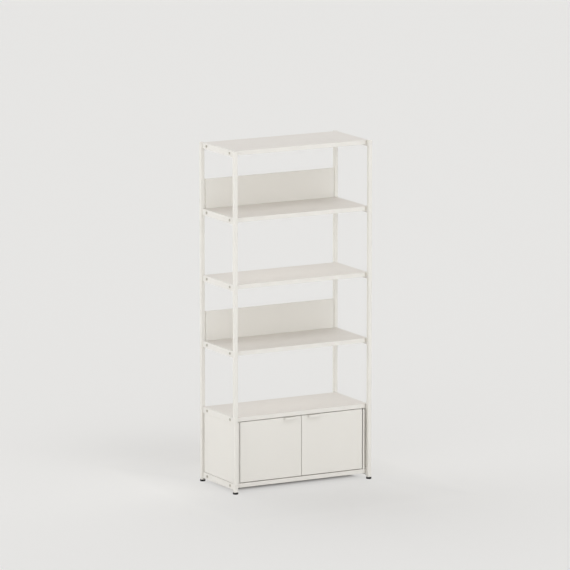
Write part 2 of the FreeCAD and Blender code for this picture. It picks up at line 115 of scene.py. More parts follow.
class CoatGrain(Enum):
    """Size in metres of the fine texture of a coated or moulded surface."""

    POWDER = 0.0011
    MOULDED = 0.0007
    PLATED = 0.0004


@dataclass(frozen=True)
class Tint:
    """Colour written in 0 to 255 display values."""

    red: float
    green: float
    blue: float

    def linear(self) -> tuple[float, float, float, float]:
        """Colour as the shader sockets take it."""
        shares = [value / 255 for value in (self.red, self.green, self.blue)]
        levels = [s / 12.92 if s <= 0.04045 else ((s + 0.055) / 1.055) ** 2.4 for s in shares]
        return (levels[0], levels[1], levels[2], 1.0)


class Bench:
    """Places and links the nodes of one tree."""

    def __init__(self, tree: bpy.types.NodeTree) -> None:
        """Takes the tree to work on.

        Args:
            tree: node tree of a material, a world or a group.
        """
        self.tree = tree

    def put(self, kind: str, inputs: dict[str | int, object] | None = None,
            **settings: object) -> bpy.types.Node:
        """Adds one node.

        Args:
            kind: the node's type name.
            inputs: what each input gets, a socket to link or a value to hold.
            settings: attributes of the node itself.

        Returns:
            The new node.
        """
        node = self.tree.nodes.new(kind)
        for name, value in settings.items():
            setattr(node, name, value)
        for name, value in (inputs or {}).items():
            self.feed(node.inputs[name], value)
        return node

    def feed(self, socket: Socket, value: object) -> None:
        """Links a socket to an input, or sets the input's own value.

        Args:
            socket: the input.
            value: a socket to link from, or a value.
        """
        if isinstance(value, Socket):
            self.tree.links.new(value, socket)
        else:
            socket.default_value = value

    def mixed(self, factor: object, first: object, second: object) -> Socket:
        """Mixes two colours.

        Args:
            factor: share of the second colour.
            first: colour at 0.
            second: colour at 1.

        Returns:
            The mixed colour's socket.
        """
        node = self.put("ShaderNodeMix", data_type="RGBA")
        for index, value in ((0, factor), (6, first), (7, second)):
            self.feed(node.inputs[index], value)
        return node.outputs[2]

    def ranged(self, value: object, low: float, high: float,
               to_low: float, to_high: float) -> Socket:
        """Maps a value from one range to another, clamped.

        Args:
            value: socket of the value.
            low: start of its range.
            high: end of its range.
            to_low: result at the start.
            to_high: result at the end.

        Returns:
            The result's socket.
        """
        inputs = {"Value": value, "From Min": low, "From Max": high,
                  "To Min": to_low, "To Max": to_high}
        return self.put("ShaderNodeMapRange", inputs).outputs["Result"]

    def computed(self, operation: str, first: object, second: object) -> Socket:
        """One step of arithmetic.

        Args:
            operation: name of the operation.
            first: first term.
            second: second term.

        Returns:
            The result's socket.
        """
        return self.put("ShaderNodeMath", {0: first, 1: second}, operation=operation).outputs[0]


class SurfaceEffects:
    """Shader groups that the finishes share."""

    PATCH_SPAN = (0.3, 0.7)
    FLECK_SPAN = (0.35, 0.65)
    EDGE_SPAN = (0.995, 0.85)
    LEVEL_SPAN = (0.6, 1.0)
    WORN_SHARE = (0.2, 1.0)
    CLOUD_SHARE = (0.7, 1.0)
    COARSE_RATIO = 6.0
    WAVE_SHARE = 0.6

    def __init__(self) -> None:
        """Builds every group once."""
        self.mottle = self._mottle()
        self.grain = self._grain()
        self.edge_wear = self._edge_wear()
        self.dust = self._dust()

    @staticmethod
    def _group(name: str, inputs: dict[str, object],
               outputs: list[str]) -> tuple[Bench, dict[str, Socket], bpy.types.Node]:
        """Starts a group with its sockets.

        Args:
            name: name of the group.
            inputs: start value of each input; a None makes a vector.
            outputs: names of its outputs.

        Returns:
            The bench, the input sockets by name and the output node.
        """
        tree = bpy.data.node_groups.new(name, "ShaderNodeTree")
        for label, value in inputs.items():
            kind = "NodeSocketVector" if value is None else "NodeSocketFloat"
            socket = tree.interface.new_socket(label, in_out="INPUT", socket_type=kind)
            if value is not None:
                socket.default_value = value
        for label in outputs:
            tree.interface.new_socket(label, in_out="OUTPUT", socket_type="NodeSocketFloat")
        bench = Bench(tree)
        ends = bench.put("NodeGroupInput")
        sockets = {label: ends.outputs[label] for label in inputs}
        return bench, sockets, bench.put("NodeGroupOutput")

    @staticmethod
    def _noise(bench: Bench, place: Socket, scale: Socket, detail: float) -> Socket:
        """Noise over the surface.

        Args:
            bench: bench of the group.
            place: coordinates of the surface.
            scale: features in a metre.
            detail: how many finer layers it has.

        Returns:
            The noise's socket.
        """
        inputs = {"Vector": place, "Scale": scale, "Detail": detail}
        return bench.put("ShaderNodeTexNoise", inputs).outputs[0]

    def _mottle(self) -> bpy.types.NodeTree:
        """Broad soft patches, as from uneven build of a coat."""
        inputs = {"Place": None, "Patch Size": 0.2}
        bench, given, out = self._group("coat_mottle", inputs, ["Patches"])
        scale = bench.computed("DIVIDE", 1.0, given["Patch Size"])
        noise = self._noise(bench, given["Place"], scale, 3.0)
        bench.feed(out.inputs["Patches"], bench.ranged(noise, *self.PATCH_SPAN, 0.0, 1.0))
        return bench.tree

    def _grain(self) -> bpy.types.NodeTree:
        """Fine height and flecks of a sprayed, plated or moulded surface."""
        inputs = {"Place": None, "Grain Size": 0.001}
        bench, given, out = self._group("surface_grain", inputs, ["Height", "Flecks"])
        scale = bench.computed("DIVIDE", 1.0, given["Grain Size"])
        fine = self._noise(bench, given["Place"], scale, 2.0)
        wide = bench.computed("DIVIDE", scale, self.COARSE_RATIO)
        coarse = self._noise(bench, given["Place"], wide, 2.0)
        waves = bench.computed("MULTIPLY", coarse, self.WAVE_SHARE)
        bench.feed(out.inputs["Height"], bench.computed("ADD", fine, waves))
        bench.feed(out.inputs["Flecks"], bench.ranged(coarse, *self.FLECK_SPAN, 0.0, 1.0))
        return bench.tree

    def _edge_wear(self) -> bpy.types.NodeTree:
        """Broken mask along the bends and edges."""
        inputs = {"Place": None, "Edge Radius": 0.001, "Patch Size": 0.02}
        bench, given, out = self._group("edge_wear", inputs, ["Worn"])
        rounded = bench.put("ShaderNodeBevel", {"Radius": given["Edge Radius"]}, samples=4)
        shape = bench.put("ShaderNodeNewGeometry")
        sockets = {0: rounded.outputs[0], 1: shape.outputs["True Normal"]}
        turn = bench.put("ShaderNodeVectorMath", sockets, operation="DOT_PRODUCT")
        edge = bench.ranged(turn.outputs["Value"], *self.EDGE_SPAN, 0.0, 1.0)
        scale = bench.computed("DIVIDE", 1.0, given["Patch Size"])
        noise = self._noise(bench, given["Place"], scale, 4.0)
        broken = bench.ranged(noise, *self.FLECK_SPAN, *self.WORN_SHARE)
        bench.feed(out.inputs["Worn"], bench.computed("MULTIPLY", edge, broken))
        return bench.tree

    def _dust(self) -> bpy.types.NodeTree:
        """Thin uneven dust on what looks up, which is also painted shade that makes the up-facing
        tops darker and warmer.
        """
        inputs = {"Place": None, "Patch Size": 0.05}
        bench, given, out = self._group("settled_dust", inputs, ["Dusty"])
        shape = bench.put("ShaderNodeNewGeometry")
        split = bench.put("ShaderNodeSeparateXYZ", {0: shape.outputs["True Normal"]})
        level = bench.ranged(split.outputs["Z"], *self.LEVEL_SPAN, 0.0, 1.0)
        scale = bench.computed("DIVIDE", 1.0, given["Patch Size"])
        noise = self._noise(bench, given["Place"], scale, 5.0)
        cloud = bench.ranged(noise, *self.PATCH_SPAN, *self.CLOUD_SHARE)
        bench.feed(out.inputs["Dusty"], bench.computed("MULTIPLY", level, cloud))
        return bench.tree


@dataclass(frozen=True)
class Finish:
    """A surface: its colours, its gloss and the strength of its texture.

    Attributes:
        name: name of the material.
        colour: main colour.
        deep: colour of the thinner patches.
        worn: colour along the edges.
        grain: size of the fine texture.
        patch: size of the broad patches in metres.
        edge: radius of the edges that wear shows on, in metres.
        wear: most that the worn colour covers.
        dusty: most that dust covers, with painted shade darkening the up-facing tops.
        gloss: roughness at its least and at its most.
        relief: height of the fine texture in metres.
        metallic: 1 on bare metal.
        specular: specular level.
        soft: share of light that passes under the surface.
    """

    # Dust on up-facing faces; it is also painted shade that makes the tops darker and warmer.
    DUST = Tint(213, 202, 195)
    BUMP_STRENGTH = 0.25
    SOFT_DEPTH = 0.002

    name: str
    colour: Tint
    deep: Tint
    worn: Tint
    grain: CoatGrain = CoatGrain.POWDER
    patch: float = 0.25
    edge: float = 0.0012
    wear: float = 0.15
    dusty: float = 0.10
    gloss: tuple[float, float] = (0.50, 0.60)
    relief: float = 0.00008
    metallic: float = 0.0
    specular: float = 0.4
    soft: float = 0.0

    def make(self, effects: SurfaceEffects) -> bpy.types.Material:
        """Builds the material.

        Args:
            effects: the shared shader groups.

        Returns:
            The material.
        """
        material = bpy.data.materials.new(self.name)
        material.use_nodes = True
        bench = Bench(material.node_tree)
        shader = material.node_tree.nodes["Principled BSDF"]
        place = bench.put("ShaderNodeTexCoord").outputs["Object"]
        mottle = self._effect(bench, effects.mottle, place, {"Patch Size": self.patch})
        grain = self._effect(bench, effects.grain, place, {"Grain Size": self.grain.value})
        wear = self._effect(bench, effects.edge_wear, place, {"Edge Radius": self.edge})
        dust = self._effect(bench, effects.dust, place, {})
        patches = mottle.outputs["Patches"]
        coat = bench.mixed(patches, self.deep.linear(), self.colour.linear())
        worn = bench.computed("MULTIPLY", wear.outputs["Worn"], self.wear)
        coat = bench.mixed(worn, coat, self.worn.linear())
        # Dust on up-facing faces, which is also painted shade on the tops.
        dust_and_shade_cover = bench.computed("MULTIPLY", dust.outputs["Dusty"], self.dusty)
        coat = bench.mixed(dust_and_shade_cover, coat, self.DUST.linear())
        bench.feed(shader.inputs["Base Color"], coat)
        gloss = bench.ranged(grain.outputs["Flecks"], 0.0, 1.0, *self.gloss)
        bench.feed(shader.inputs["Roughness"], gloss)
        bump = bench.put("ShaderNodeBump", {
            "Strength": self.BUMP_STRENGTH, "Distance": self.relief,
            "Height": grain.outputs["Height"]})
        bench.feed(shader.inputs["Normal"], bump.outputs["Normal"])
        shader.inputs["Metallic"].default_value = self.metallic
        shader.inputs["Specular IOR Level"].default_value = self.specular
        shader.inputs["Subsurface Weight"].default_value = self.soft
        shader.inputs["Subsurface Scale"].default_value = self.SOFT_DEPTH
        return material

    @staticmethod
    def _effect(bench: Bench, tree: bpy.types.NodeTree, place: Socket,
                values: dict[str, float]) -> bpy.types.Node:
        """Places a shared group in the material.

        Args:
            bench: bench of the material.
            tree: the group.
            place: coordinates of the surface.
            values: its other inputs.

        Returns:
            The group's node.
        """
        return bench.put("ShaderNodeGroup", {"Place": place, **values}, node_tree=tree)


class Finishes:
    """Every material of the bookcase, by the record's slot."""

    def __init__(self) -> None:
        """Makes the materials and reads which node takes which slot."""
        effects = SurfaceEffects()
        cream = {"colour": Tint(230, 227.5, 221.5), "deep": Tint(228.5, 226, 220),
                 "worn": Tint(236, 234, 229)}
        plated = {"grain": CoatGrain.PLATED, "edge": 0.0004, "relief": 0.00002,
                  "metallic": 1.0, "dusty": 0.05}
        moulded = {"grain": CoatGrain.MOULDED, "dusty": 0.05}
        plain = [
            Finish("post_paint", **cream, patch=0.30),
            Finish("rail_paint", **cream, patch=0.18),
            # The decks carry the most of it, as dust and as painted shade on their tops.
            Finish("deck_paint", **cream, patch=0.35, dusty=0.35),
            Finish("panel_paint", **cream, patch=0.28),
            Finish("door_paint", **cream, patch=0.24, gloss=(0.46, 0.56)),
            Finish("foot_plastic", Tint(26, 26, 27), Tint(20, 20, 21), Tint(58, 58, 57),
                   CoatGrain.MOULDED, patch=0.02, gloss=(0.42, 0.58), dusty=0.2),
            Finish(STEEL_SLOT, Tint(206, 203, 193), Tint(197, 194, 183), Tint(214, 212, 204),
                   **plated, patch=0.006, gloss=(0.36, 0.50)),
            Finish("pivot_steel", Tint(190, 192, 194), Tint(172, 173, 174), Tint(220, 221, 222),
                   **plated, patch=0.01, gloss=(0.22, 0.34)),
            Finish("bush_plastic", Tint(225, 222, 212), Tint(219, 215, 203), Tint(233, 231, 224),
                   **moulded, patch=0.008, edge=0.0004, gloss=(0.34, 0.46), relief=0.00004,
                   soft=0.15),
            Finish("catch_plastic", Tint(222, 219, 209), Tint(217, 213, 202), Tint(232, 230, 222),
                   **moulded, patch=0.02, edge=0.0006, gloss=(0.38, 0.50), relief=0.00006,
                   soft=0.05),
        ]
        self.by_slot = {finish.name: finish.make(effects) for finish in plain}
        self.slot_of = {row["node"]: row["material_slot"] for row in frame["record"]["subparts"]}

    def dress(self, node: str) -> None:
        """Gives one modelled node the finish of its slot.

        Args:
            node: name of the node.
        """
        piece = frame["nodes"][node]
        material = self.by_slot[self.slot_of[node]]
        if not piece.material_slots:
            piece.data.materials.append(material)
        for holder in piece.material_slots:
            holder.material = material


@dataclass(frozen=True)
class Seat:
    """Where a fastener sits: its place and the way its head looks."""

    place: tuple[float, float, float]
    facing: Facing


@dataclass(frozen=True)
class Fastener:
    """A turned fastener whose head stands on z = 0, with its shank below.

    Attributes:
        head: diameter of the head.
        height: height of the head.
        rim: height of the head's straight rim.
        crown: radius of the flat on its crown.
        shank: diameter of the shank.
        reach: length of the shank.
        pitch: pitch of the thread, 0 for a plain shank.
        drive: what is let into the crown.
        drive_size: size of the drive across.
        drive_depth: depth of the drive.
        tail: diameter of the set tail of a rivet, 0 for none.
        around: points of a ring, twice as many as a cross recess has.
    """

    NOSE_SHARE = 0.6
    THREAD_DEPTH = 0.4
    THREADED_SHARE = 0.6
    CROWN_STEPS = 5
    SOCKET_MOUTH = 1.14
    SOCKET_EDGE = 0.14
    POINT_SHARE = 0.2
    ARM_SHARE = 0.13
    CROSS_FLOOR = 0.5
    BORE_TAPER = 0.92
    STEM_SHARE = 0.80
    STEM_RISE = 0.3

    head: float
    height: float
    rim: float
    crown: float
    shank: float
    reach: float
    pitch: float
    drive: Drive
    drive_size: float
    drive_depth: float
    tail: float = 0.0
    around: int = 24

    def profile(self) -> list[tuple[float, float]]:
        """Outline from the tail to the crown as pairs of radius and height."""
        shank, points = self.shank / 2, []
        if self.tail:
            lip = self.tail / 2
            points += [(lip * self.NOSE_SHARE, -self.reach), (lip, -self.reach + self.height / 2)]
            points += [(lip, -self.reach + self.height), (shank, -self.reach + self.height)]
        else:
            depth = self.pitch * self.THREAD_DEPTH
            root = shank - depth
            points += [(root, -self.reach), (shank, -self.reach + depth)]
            turns = int(self.reach * self.THREADED_SHARE / self.pitch)
            for turn in range(1, turns):
                z = -self.reach + turn * self.pitch
                points += [(root, z), (shank, z + self.pitch / 2)]
        points += [(shank, 0.0), (self.head / 2, 0.0), (self.head / 2, self.rim)]
        for step in range(1, self.CROWN_STEPS + 1):
            angle = math.pi / 2 * step / self.CROWN_STEPS
            radius = self.crown + (self.head / 2 - self.crown) * math.cos(angle)
            points.append((radius, self.rim + (self.height - self.rim) * math.sin(angle)))
        return points

    def mesh(self, name: str) -> bpy.types.Mesh:
        """Builds the fastener.

        Args:
            name: name of the mesh.

        Returns:
            A closed mesh.
        """
        work = bmesh.new()
        rings = [self._ring(work, radius, height) for radius, height in self.profile()]
        work.faces.new(rings[0])
        for lower, upper in zip(rings, rings[1:]):
            self._bridge(work, lower, upper)
        {Drive.HEX_SOCKET: self._hex_socket, Drive.CROSS_RECESS: self._cross_recess,
         Drive.RIVET_HOLE: self._rivet_hole}[self.drive](work, rings[-1])
        bmesh.ops.recalc_face_normals(work, faces=work.faces)
        mesh = bpy.data.meshes.new(name)
        work.to_mesh(mesh)
        work.free()
        return mesh

    def _angles(self) -> list[float]:
        """Angles of the points of a ring."""
        return [math.tau * (k - 1) / self.around for k in range(self.around)]

    def _ring(self, work: Work, radius: float, height: float) -> Ring:
        """Round ring of points.

        Args:
            work: mesh under construction.
            radius: radius of the ring.
            height: its height.

        Returns:
            The points in order.
        """
        return [work.verts.new((radius * math.cos(a), radius * math.sin(a), height))
                for a in self._angles()]

    def _hexagon(self, work: Work, across: float, height: float) -> Ring:
        """Hexagonal ring with as many points as a round one.

        Args:
            work: mesh under construction.
            across: size across the flats.
            height: its height.

        Returns:
            The points in order.
        """
        ring = []
        for a in self._angles():
            radius = across / 2 / math.cos((a + math.pi / 6) % (math.pi / 3) - math.pi / 6)
            ring.append(work.verts.new((radius * math.cos(a), radius * math.sin(a), height)))
        return ring

    @staticmethod
    def _bridge(work: Work, lower: Ring, upper: Ring) -> None:
        """Faces between two rings of as many points.

        Args:
            work: mesh under construction.
            lower: first ring.
            upper: second ring.
        """
        for k, vert in enumerate(lower):
            after = (k + 1) % len(lower)
            work.faces.new((vert, lower[after], upper[after], upper[k]))

    def _hex_socket(self, work: Work, crown: Ring) -> None:
        """Hexagonal socket with a broken edge and a drilled floor.

        Args:
            work: mesh under construction.
            crown: ring of the crown's flat.
        """
        floor = self.height - self.drive_depth
        edge = self.height - self.drive_depth * self.SOCKET_EDGE
        rings = [crown, self._hexagon(work, self.drive_size * self.SOCKET_MOUTH, self.height)]
        rings.append(self._hexagon(work, self.drive_size, edge))
        rings.append(self._hexagon(work, self.drive_size, floor))
        for lower, upper in zip(rings, rings[1:]):
            self._bridge(work, lower, upper)
        point = work.verts.new((0.0, 0.0, floor - self.drive_depth * self.POINT_SHARE))
        for k, vert in enumerate(rings[-1]):
            work.faces.new((vert, rings[-1][(k + 1) % self.around], point))

    def _cross(self, work: Work, share: float, height: float) -> Ring:
        """Outline of a cross recess.

        Args:
            work: mesh under construction.
            share: size as a share of the drive's.
            height: its height.

        Returns:
            Twelve points in order.
        """
        arm, half = self.drive_size / 2 * share, self.drive_size * self.ARM_SHARE * share
        ring = []
        for cos, sin in ((1, 0), (0, 1), (-1, 0), (0, -1)):
            for x, y in ((arm, -half), (arm, half), (half, half)):
                ring.append(work.verts.new((x * cos - y * sin, x * sin + y * cos, height)))
        return ring

    def _cross_recess(self, work: Work, crown: Ring) -> None:
        """Cross recess that narrows towards its floor.

        Args:
            work: mesh under construction.
            crown: ring of the crown's flat.
        """
        mouth = self._cross(work, 1.0, self.height)
        floor = self._cross(work, self.CROSS_FLOOR, self.height - self.drive_depth)
        for k, vert in enumerate(mouth):
            after = mouth[(k + 1) % len(mouth)]
            round_points = [crown[(2 * k + step) % self.around] for step in range(3)]
            work.faces.new((vert, *round_points, after))
        self._bridge(work, mouth, floor)
        work.faces.new(floor)

    def _rivet_hole(self, work: Work, crown: Ring) -> None:
        """Hole with the broken end of the rivet's stem in it.

        Args:
            work: mesh under construction.
            crown: ring of the crown's flat.
        """
        radius = self.drive_size / 2
        floor = self.height - self.drive_depth
        rings = [crown, self._ring(work, radius, self.height)]
        rings.append(self._ring(work, radius * self.BORE_TAPER, floor))
        stem = floor + self.drive_depth * self.STEM_RISE
        rings.append(self._ring(work, radius * self.STEM_SHARE, stem))
        for lower, upper in zip(rings, rings[1:]):
            self._bridge(work, lower, upper)
        work.faces.new(rings[-1])


PAN_SCREW = Fastener(head=0.0075, height=0.0022, rim=0.0009, crown=0.0023, shank=0.004,
                     reach=0.007, pitch=0.0007, drive=Drive.CROSS_RECESS, drive_size=0.0038,
                     drive_depth=0.0013)


class FastenerTree:
    """Geometry Nodes tree that sets one fastener on every seat of a set."""

    FACING = "facing"
    SHARP_ANGLE = math.radians(35)

    def __init__(self) -> None:
        """Builds the tree with its named inputs."""
        self.tree = bpy.data.node_groups.new("fasteners_on_seats", "GeometryNodeTree")
        face = self.tree.interface
        kinds = {"Seats": "Geometry", "Fastener": "Object", "Size": "Float", "Turn Seed": "Int",
                 "Finish": "Material"}
        self.sockets = {}
        for name, kind in kinds.items():
            socket = face.new_socket(name, in_out="INPUT", socket_type=f"NodeSocket{kind}")
            self.sockets[name] = socket.identifier
        face.new_socket("Fasteners", in_out="OUTPUT", socket_type="NodeSocketGeometry")
        bench = Bench(self.tree)
        given = bench.put("NodeGroupInput").outputs
        facing = bench.put("GeometryNodeInputNamedAttribute", {"Name": self.FACING},
                           data_type="FLOAT_VECTOR")
        aligned = bench.put("FunctionNodeAlignRotationToVector",
                            {"Vector": facing.outputs["Attribute"]}, axis="Z")
        source = bench.put("GeometryNodeObjectInfo", {"Object": given["Fastener"]})
        points = bench.put("GeometryNodeMeshToPoints", {"Mesh": given["Seats"]})
        placed = bench.put("GeometryNodeInstanceOnPoints", {
            "Points": points.outputs[0], "Instance": source.outputs["Geometry"],
            "Rotation": aligned.outputs[0], "Scale": given["Size"]})
        spin = bench.put("FunctionNodeRandomValue", {"Seed": given["Turn Seed"]},
                         data_type="FLOAT")
        spin.inputs[3].default_value = math.tau
        turn = bench.put("ShaderNodeCombineXYZ", {"Z": spin.outputs[1]})
        turned = bench.put("GeometryNodeRotateInstances", {
            "Instances": placed.outputs[0], "Rotation": turn.outputs[0]})
        real = bench.put("GeometryNodeRealizeInstances", {"Geometry": turned.outputs[0]})
        dressed = bench.put("GeometryNodeSetMaterial", {
            "Geometry": real.outputs[0], "Material": given["Finish"]})
        bench.put("NodeGroupOutput", {"Fasteners": dressed.outputs[0]})

    def set(self, name: str, fastener: Fastener, seats: list[Seat], finish: bpy.types.Material,
            seed: TurnSeed, body: str, slot: str, nodes: list[str]) -> bpy.types.Object:
        """Sets a fastener on every seat and makes one plain mesh of them.

        Args:
            name: name of the piece.
            fastener: what is set.
            seats: where it is set.
            finish: its material.
            seed: seed of the turn that each one stops at.
            body: body that the piece rides on.
            slot: slot of its finish in the record; not used.
            nodes: modelled nodes that it stands for.

        Returns:
            The piece.
        """
        holder = self._seat_object(name, seats)
        single = bpy.data.objects.new(f"{name}_single", fastener.mesh(f"{name}_single"))
        bpy.context.scene.collection.objects.link(single)
        modifier = holder.modifiers.new("fasteners", "NODES")
        modifier.node_group = self.tree
        values = {"Fastener": single, "Size": 1.0, "Turn Seed": seed.value, "Finish": finish}
        for label, value in values.items():
            modifier[self.sockets[label]] = value
        graph = bpy.context.evaluated_depsgraph_get()
        mesh = bpy.data.meshes.new_from_object(holder.evaluated_get(graph), depsgraph=graph)
        for spent in (holder, single):
            bpy.data.objects.remove(spent)
        mesh.name = name
        piece = bpy.data.objects.new(name, mesh)
        bpy.context.scene.collection.objects.link(piece)
        mesh.shade_smooth()
        mesh.set_sharp_from_angle(angle=self.SHARP_ANGLE)
        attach(piece, body)
        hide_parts(*nodes)
        LOG.info("%s: %d fasteners on %s", name, len(seats), body)
        return piece

    def _seat_object(self, name: str, seats: list[Seat]) -> bpy.types.Object:
        """Points of the seats, each with the way its fastener looks.

        Args:
            name: name of the piece.
            seats: the seats.

        Returns:
            An object of loose points.
        """
        mesh = bpy.data.meshes.new(f"{name}_seats")
        mesh.from_pydata([seat.place for seat in seats], [], [])
        layer = mesh.attributes.new(self.FACING, "FLOAT_VECTOR", "POINT")
        for row, seat in zip(layer.data, seats):
            row.vector = seat.facing.value
        holder = bpy.data.objects.new(f"{name}_seats", mesh)
        bpy.context.scene.collection.objects.link(holder)
        return holder


@dataclass
class Workshop:
    """What every sub-assembly needs to dress itself."""

    finishes: Finishes
    fasteners: FastenerTree

    def dress(self, *nodes: str) -> None:
        """Dresses several modelled nodes.

        Args:
            nodes: their names.
        """
        for node in nodes:
            self.finishes.dress(node)
            LOG.info("%s: %s", node, self.finishes.slot_of[node])

    def fasten(self, name: str, fastener: Fastener, seats: list[Seat], seed: TurnSeed,
               nodes: list[str], body: str = FRAME_BODY) -> None:
        """Sets steel fasteners on their seats.

        Args:
            name: name of the piece.
            fastener: what is set.
            seats: where it is set.
            seed: seed of the turn that each one stops at.
            nodes: modelled nodes that it stands for.
            body: body that the piece rides on.
        """
        finish = self.finishes.by_slot[STEEL_SLOT]
        self.fasteners.set(name, fastener, seats, finish, seed, body, STEEL_SLOT, nodes)


@dataclass
class PostFrame:
    """Posts with caps and feet, and the rails bolted to the decks."""

    shop: Workshop
    bolt_drop: float = 0.015
    bolt_offset: float = 0.125
    bolt: Fastener = Fastener(head=0.014, height=0.0032, rim=0.0008, crown=0.0044, shank=0.006,
                              reach=0.0195, pitch=0.001, drive=Drive.HEX_SOCKET,
                              drive_size=0.004, drive_depth=0.002)

    def build(self) -> None:
        """Sets the rail bolts."""
        seats = []
        for side in Side:
            facing = Facing[side.name]
            for level in range(LEVELS):
                low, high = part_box(f"rail_{side.word}_{level}")
                face = low.x if side is Side.LEFT else high.x
                for y in (-self.bolt_offset, self.bolt_offset):
                    seats.append(Seat((face, y, high.z - self.bolt_drop), facing))
        nodes = [f"rail_bolts_{side.word}" for side in Side]
        self.shop.fasten("rail_bolts", self.bolt, seats, TurnSeed.RAIL_BOLTS, nodes)

    def dress(self) -> None:
        """Paints the posts and rails and finishes the feet and nuts."""
        self.shop.dress("post_caps")
        for side in Side:
            for piece in ("post", "foot"):
                self.shop.dress(*[f"{piece}_{end}_{side.word}" for end in ("front", "rear")])
            self.shop.dress(*[f"rail_{side.word}_{level}" for level in range(LEVELS)])
            self.shop.dress(f"rail_nuts_{side.word}")


@dataclass
class Decks:
    """The folded decks and the two low back panels with their screws."""

    shop: Workshop
    panel_levels: tuple[int, ...] = (4, 2)
    cabinet_levels: tuple[int, ...] = (0, 1)
    sheet: float = 0.0015
    screw_drop: float = 0.011
    screw_share: float = 0.68
    screw: Fastener = PAN_SCREW

    def build(self) -> None:
        """Sets the screws that hold the back panels and the cabinet's back."""
        seats = []
        for level in self.panel_levels + self.cabinet_levels:
            back = f"back_panel_{level}" if level in self.panel_levels else "cabinet_back"
            low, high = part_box(back)
            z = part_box(f"deck_{level}")[1].z - self.screw_drop
            for share in (-self.screw_share, 0.0, self.screw_share):
                seats.append(Seat((high.x * share, low.y + self.sheet, z), Facing.REAR))
        self.shop.fasten("back_screws_set", self.screw, seats, TurnSeed.BACK_SCREWS,
                         ["back_screws"])

    def dress(self) -> None:
        """Paints the decks and the back panels."""
        self.shop.dress(*[f"deck_{level}" for level in range(LEVELS)])
        self.shop.dress(*[f"back_panel_{level}" for level in self.panel_levels])


@dataclass
class Cabinet:
    """Sides and back of the cabinet, with rivets, screws, bushes and catches."""

    shop: Workshop
    rivet_heights: tuple[float, ...] = (0.1138, 0.2095, 0.3052)
    rivet_x: float = 0.370
    rivet_y: float = 0.175
    rivet: Fastener = Fastener(head=0.007, height=0.0012, rim=0.0001, crown=0.0013, shank=0.004,
                               reach=0.0042, pitch=0.0, drive=Drive.RIVET_HOLE,
                               drive_size=0.0022, drive_depth=0.0006, tail=0.007)
    screw_offset: float = 0.108
    screw_x: float = 0.36475
    screw_seat: float = 0.0015
    screw: Fastener = replace(PAN_SCREW, head=0.007, crown=0.0022, reach=0.0072, drive_size=0.0036)

    def build(self) -> None:
        """Sets the rivets of the back and the screws of the sides."""
        rivets, screws = [], []
        for side in Side:
            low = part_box(f"cabinet_side_{side.word}")[0]
            face = side.sign * self.rivet_x
            rivets += [Seat((face, self.rivet_y, z), Facing[side.name])
                       for z in self.rivet_heights]
            for y in (-self.screw_offset, self.screw_offset):
                place = (side.sign * self.screw_x, y, low.z + self.screw_seat)
                screws.append(Seat(place, Facing.UP))
        self.shop.fasten("rivets", self.rivet, rivets, TurnSeed.RIVETS, ["cabinet_rivets"])
        self.shop.fasten("side_screws_set", self.screw, screws, TurnSeed.SIDE_SCREWS,
                         ["side_screws"])

    def dress(self) -> None:
        """Paints the panels and finishes the small fittings."""
        self.shop.dress("cabinet_back", "side_studs", "side_nuts", "pivot_bushes", "catch_screws")
        for side in Side:
            for piece in ("cabinet_side", "catch", "catch_magnet"):
                self.shop.dress(f"{piece}_{side.word}")


@dataclass
class Door:
    """One door with its pivots, its handle and the handle's screws."""

    shop: Workshop
    side: Side
    handle_x: float = 0.0705
    screw_spread: float = 0.020
    screw_y: float = -0.1665
    screw_drop: float = 0.010
    screw: Fastener = replace(PAN_SCREW, reach=0.0035)

    @property
    def body(self) -> str:
        """Body that the door belongs to."""
        return f"{self.side.word}_door"

    def build(self) -> None:
        """Sets the handle's screws."""
        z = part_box(f"door_{self.side.word}")[1].z - self.screw_drop
        middle = self.side.sign * self.handle_x
        seats = [Seat((middle + step, self.screw_y, z), Facing.REAR)
                 for step in (-self.screw_spread, self.screw_spread)]
        self.shop.fasten(f"handle_screws_set_{self.side.word}", self.screw, seats,
                         TurnSeed.HANDLE_SCREWS, [f"handle_screws_{self.side.word}"], self.body)

    def dress(self) -> None:
        """Paints the door and its handle and finishes the pivots."""
        pieces = ("door", "handle", "pivot_blocks", "pivot_pins")
        self.shop.dress(*[f"{piece}_{self.side.word}" for piece in pieces])


@dataclass(frozen=True)
class Glow:
    """Soft patch of light in the studio's dome.

    Attributes:
        way: direction in which it stands.
        power: how narrow it is.
        strength: its brightness in the middle.
    """

    way: tuple[float, float, float]
    power: float
    strength: float


